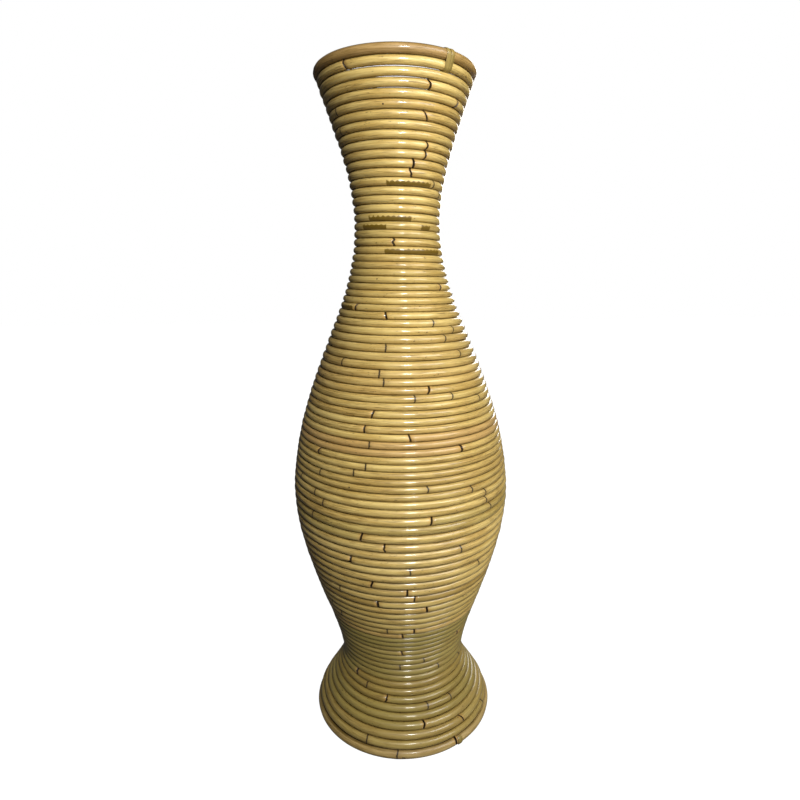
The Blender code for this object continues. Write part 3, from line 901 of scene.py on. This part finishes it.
# Bare birch-faced plywood: a pale rotary-cut face with long brown figure, and dark glue lines between plies.
plywood = bpy.data.materials.new("bare_plywood")
plywood.use_nodes = True
tree = plywood.node_tree
tree.nodes.clear()
where = add_node(tree, "ShaderNodeTexCoord").outputs["Object"]
stretched = add_node(tree, "ShaderNodeMapping", {"Vector": where, "Scale": (26.0, 260.0, 40.0)}).outputs[0]
figure = add_node(tree, "ShaderNodeTexNoise", {"Vector": stretched, "Scale": 1.0, "Detail": 4.0})
figure = figure.outputs["Fac"]
faces = add_node(tree, "ShaderNodeValToRGB", {"Fac": figure})
faces.color_ramp.elements[0].position = 0.35
faces.color_ramp.elements[0].color = srgb("A98558")
faces.color_ramp.elements[1].position = 0.65
faces.color_ramp.elements[1].color = srgb("CBA878")
level = add_node(tree, "ShaderNodeSeparateXYZ", {0: where}).outputs["Z"]
ply = add_node(tree, "ShaderNodeMath", {0: level, 1: 0.0012}, operation="PINGPONG").outputs[0]
line = add_node(tree, "ShaderNodeMapRange", {"Value": ply, "From Min": 0.0001, "From Max": 0.0004}).outputs[0]
normal = add_node(tree, "ShaderNodeNewGeometry").outputs["Normal"]
facing_up = add_node(tree, "ShaderNodeSeparateXYZ", {0: normal}).outputs["Z"]
flat = add_node(tree, "ShaderNodeMath", {0: facing_up}, operation="ABSOLUTE").outputs[0]
shown = add_node(tree, "ShaderNodeMath", {0: line, 1: flat}, operation="MAXIMUM").outputs[0]
tint = add_node(tree, "ShaderNodeMix", data_type="RGBA")
tree.links.new(shown, tint.inputs[0])
tint.inputs[6].default_value = srgb("5E4528")
tree.links.new(faces.outputs["Color"], tint.inputs[7])
relief = add_node(tree, "ShaderNodeBump", {"Height": figure, "Strength": 0.25, "Distance": 0.0003})
shader = add_node(
    tree,
    "ShaderNodeBsdfPrincipled",
    {"Base Color": tint.outputs[2], "Roughness": 0.68, "Normal": relief.outputs[0]},
)
tree.links.new(shader.outputs[0], add_node(tree, "ShaderNodeOutputMaterial").inputs["Surface"])
disc.data.materials.clear()
disc.data.materials.append(plywood)
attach(disc, "root")
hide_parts("floor_disc")


# The stage: a wide white sweep, three soft lamps and the camera. The lamp in front gives the highlights down
# the rows, and the wide ones light the right side and the back.
WORLD_LIGHT = 0.045
CAMERA_BACK = 0.778
CAMERA_HEIGHT = 0.642
CAMERA_LENS = 25.74
CAMERA_SENSOR = 36.0
CAMERA_PITCH = -12.52
CAMERA_ROLL = -0.7
CAMERA_AIM_RIGHT = 0.0009
bpy.ops.object.select_all(action="DESELECT")
bpy.ops.mesh.primitive_plane_add(size=14.0, location=(0, 0, 0))
floor = bpy.context.object
floor.name = "floor"

# White paper, lit evenly from behind where the camera sees it, so that it has no shadow on it.
paper = bpy.data.materials.new("white_paper_sweep")
paper.use_nodes = True
paper.node_tree.nodes["Principled BSDF"].inputs["Base Color"].default_value = srgb("606060")
paper.node_tree.nodes["Principled BSDF"].inputs["Roughness"].default_value = 0.9
seen = add_node(paper.node_tree, "ShaderNodeLightPath").outputs["Is Camera Ray"]
paper.node_tree.links.new(seen, paper.node_tree.nodes["Principled BSDF"].inputs["Emission Strength"])
paper.node_tree.nodes["Principled BSDF"].inputs["Emission Color"].default_value = (1.0, 1.0, 1.0, 1.0)
floor.data.materials.append(paper)

world = bpy.data.worlds.new("studio")
bpy.context.scene.world = world
world.use_nodes = True
seen = add_node(world.node_tree, "ShaderNodeLightPath").outputs["Is Camera Ray"]
glow = add_node(world.node_tree, "ShaderNodeMapRange", {"Value": seen, "To Min": WORLD_LIGHT, "To Max": 1.0})
world.node_tree.links.new(glow.outputs[0], world.node_tree.nodes["Background"].inputs["Strength"])
world.node_tree.nodes["Background"].inputs["Color"].default_value = (1.0, 1.0, 1.0, 1.0)


def add_softbox(name, place, target, size, power):
    lamp = bpy.data.lights.new(name, "AREA")
    lamp.shape = "RECTANGLE"
    lamp.size, lamp.size_y = size
    lamp.energy = power
    holder = bpy.data.objects.new(name, lamp)
    bpy.context.collection.objects.link(holder)
    holder.location = place
    holder.rotation_euler = (Vector(target) - Vector(place)).to_track_quat("-Z", "Y").to_euler()


add_softbox("front_lamp", (0.20, -0.98, 1.04), (0, 0, 0.66), (0.20, 0.26), 11.8)
add_softbox("back_lamp", (0.5, 2.4, 1.3), (0, 0, 0.5), (1.4, 1.4), 34)
add_softbox("right_lamp", (1.35, -1.0, 1.45), (0, 0, 0.70), (1.0, 1.0), 20)

camera_data = bpy.data.cameras.new("camera")
camera_data.sensor_width = CAMERA_SENSOR
camera_data.lens = CAMERA_LENS
camera = bpy.data.objects.new("camera", camera_data)
bpy.context.collection.objects.link(camera)
camera.location = (0.0, -CAMERA_BACK, CAMERA_HEIGHT)
camera.rotation_mode = "XYZ"
pitch = math.radians(CAMERA_PITCH)
aim = Vector((CAMERA_AIM_RIGHT, math.cos(pitch), math.sin(pitch)))
turn = aim.to_track_quat("-Z", "Y").to_matrix()
roll = math.radians(CAMERA_ROLL)
camera.rotation_euler = (turn @ Matrix.Rotation(roll, 3, "Z")).to_euler()
bpy.context.scene.camera = camera
bpy.context.scene.view_settings.view_transform = "Standard"
